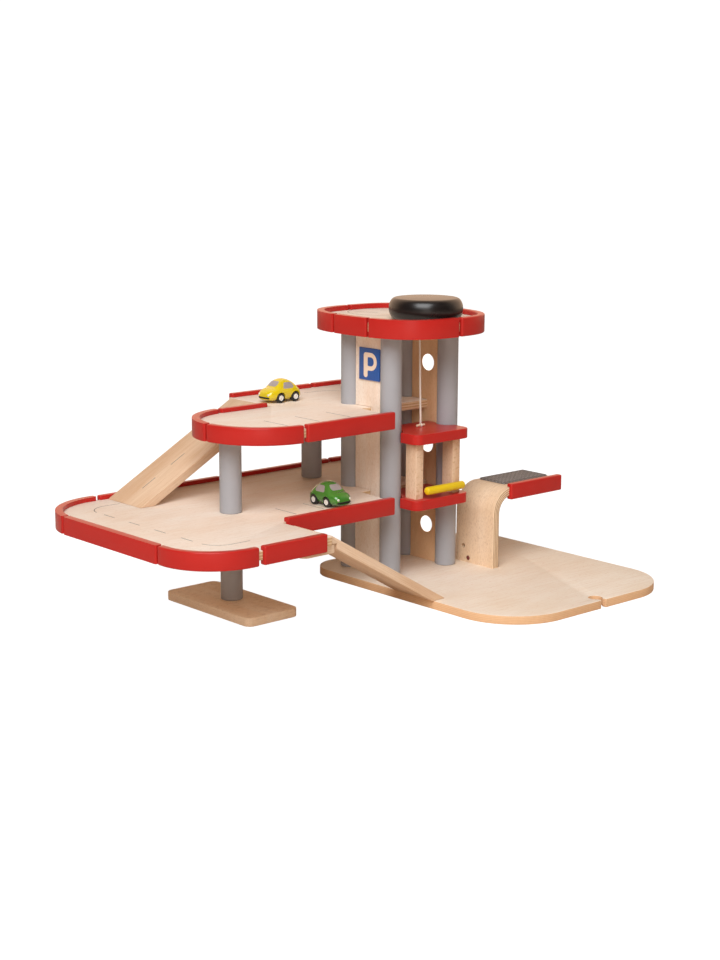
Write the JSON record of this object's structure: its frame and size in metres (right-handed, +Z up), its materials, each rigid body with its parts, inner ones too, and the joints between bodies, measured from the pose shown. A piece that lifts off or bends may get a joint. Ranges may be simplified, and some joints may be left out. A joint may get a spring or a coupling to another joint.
{
  "type": "toy parking garage",
  "caption": "Wooden toy parking garage: two decks and a roof on dowel posts, red edge rails, two ramps, a lift wound by a large knob, a landing stand and toy cars.",
  "frame": {"origin": "under the middle of the four tower posts, on the underside of the base board", "axes": "+X along the decks towards the landing stand, +Y towards the back, +Z up"},
  "size_m": [0.6155, 0.4366, 0.339],
  "materials": {
    "birch_wood": "satin",
    "plywood": "satin",
    "beech_wood": "satin",
    "red_lacquer": "gloss",
    "grey_lacquer": "satin",
    "dark_lacquer": "gloss",
    "yellow_lacquer": "gloss",
    "sign_blue": "gloss",
    "mesh_fabric": "matte",
    "cotton_string": "matte",
    "steel_pin": "satin",
    "green_paint": "gloss",
    "yellow_paint": "gloss",
    "tyre_black": "matte"
  },
  "bodies": {
    "garage": {"base_plate": "plywood", "bent_stand": "plywood", "cleat_lower": "birch_wood", "cleat_upper": "birch_wood", "column_back": "grey_lacquer", "column_left": "grey_lacquer", "foot_column": "grey_lacquer", "foot_plate": "beech_wood", "knob_axle": "steel_pin", "lift_string": "cotton_string", "lower_deck": "plywood", "lower_rail_back_1": "red_lacquer", "lower_rail_back_2": "red_lacquer", "lower_rail_front": "red_lacquer", "lower_rail_front_arc": "red_lacquer", "lower_rail_inner": "red_lacquer", "lower_rail_left": "red_lacquer", "lower_rail_left_arc": "red_lacquer", "lower_rail_right_end": "red_lacquer", "mid_deck": "plywood", "mid_rail_back_1": "red_lacquer", "mid_rail_back_2": "red_lacquer", "mid_rail_end_arc": "red_lacquer", "mid_rail_front": "red_lacquer", "mid_rail_front_arc": "red_lacquer", "mid_rail_ramp_side": "red_lacquer", "mid_rail_right_end": "red_lacquer", "parking_sign": "sign_blue", "roof_deck": "plywood", "roof_rail_front": "red_lacquer", "roof_rail_left": "red_lacquer", "roof_rail_left_back": "red_lacquer", "roof_rail_right": "red_lacquer", "roof_rail_right_back": "red_lacquer", "sign_panel": "plywood", "stand_pad": "mesh_fabric", "stand_rail": "red_lacquer", "stand_screw": "beech_wood", "tower_post_back_left": "grey_lacquer", "tower_post_back_right": "grey_lacquer", "tower_post_front_left": "grey_lacquer", "tower_post_front_right": "grey_lacquer", "window_panel": "plywood"},
    "lift": {"lift_floor": "red_lacquer", "lift_roof": "red_lacquer", "lift_post_left": "birch_wood", "lift_post_right": "birch_wood", "string_toggle": "birch_wood", "gate_pin": "steel_pin"},
    "gate": {"gate_bar": "yellow_lacquer"},
    "winder": {"winder_knob": "dark_lacquer", "winder_spool": "dark_lacquer"},
    "lower_ramp": {"ramp_lower": "birch_wood"},
    "upper_ramp": {"ramp_upper": "birch_wood"},
    "green_car": {"green_body": "green_paint"},
    "green_front": {"green_wheels_front": "tyre_black"},
    "green_rear": {"green_wheels_rear": "tyre_black"},
    "yellow_car": {"yellow_body": "yellow_paint"},
    "yellow_front": {"yellow_wheels_front": "tyre_black"},
    "yellow_rear": {"yellow_wheels_rear": "tyre_black"}
  },
  "joints": [
    {"name": "lift_slide", "type": "slide", "parent": "garage", "child": "lift", "axis": [0, 0, 1], "range_m": [-0.0838, 0.1035], "deforming": ["lift_string"]},
    {"name": "gate_turn", "type": "hinge", "parent": "lift", "child": "gate", "pos_m": [0.03, -0.0732, 0.116], "axis": [0, 1, 0], "range_deg": [0, 90]},
    {"name": "knob_turn", "type": "hinge", "parent": "garage", "child": "winder", "pos_m": [0, -0.04365, 0.314], "axis": [0, 0, 1], "range_deg": [-500, 610]},
    {"name": "lower_ramp_lift", "type": "hinge", "parent": "garage", "child": "lower_ramp", "pos_m": [-0.23695, -0.11805, 0.11], "axis": [0, -1, 0], "range_deg": [0, 25]},
    {"name": "upper_ramp_lift", "type": "hinge", "parent": "garage", "child": "upper_ramp", "pos_m": [-0.13535, 0.124, 0.21], "axis": [0, 1, 0], "range_deg": [0, 25]},
    {"name": "green_drive", "type": "slide", "parent": "garage", "child": "green_car", "axis": [0, -1, 0], "range_m": [-0.1, 0.0038]},
    {"name": "green_front_spin", "type": "hinge", "parent": "green_car", "child": "green_front", "pos_m": [-0.13985, -0.043, 0.1162], "axis": [1, 0, 0], "range_deg": [-1000, 60]},
    {"name": "green_rear_spin", "type": "hinge", "parent": "green_car", "child": "green_rear", "pos_m": [-0.13985, -0.0205, 0.1162], "axis": [1, 0, 0], "range_deg": [-1000, 60]},
    {"name": "yellow_drive", "type": "slide", "parent": "garage", "child": "yellow_car", "axis": [-1, 0, 0], "range_m": [-0.12, 0.018]},
    {"name": "yellow_front_spin", "type": "hinge", "parent": "yellow_car", "child": "yellow_front", "pos_m": [-0.11255, 0.0992, 0.2162], "axis": [0, -1, 0], "range_deg": [-1200, 200]},
    {"name": "yellow_rear_spin", "type": "hinge", "parent": "yellow_car", "child": "yellow_rear", "pos_m": [-0.09005, 0.0992, 0.2162], "axis": [0, -1, 0], "range_deg": [-1200, 200]}
  ],
  "couplings": [
    {"joint": "knob_turn", "follows": "lift_slide", "rad_per_m": 100},
    {"joint": "green_front_spin", "follows": "green_drive", "rad_per_m": 169.49},
    {"joint": "green_rear_spin", "follows": "green_drive", "rad_per_m": 169.49},
    {"joint": "yellow_front_spin", "follows": "yellow_drive", "rad_per_m": 169.49},
    {"joint": "yellow_rear_spin", "follows": "yellow_drive", "rad_per_m": 169.49}
  ]
}
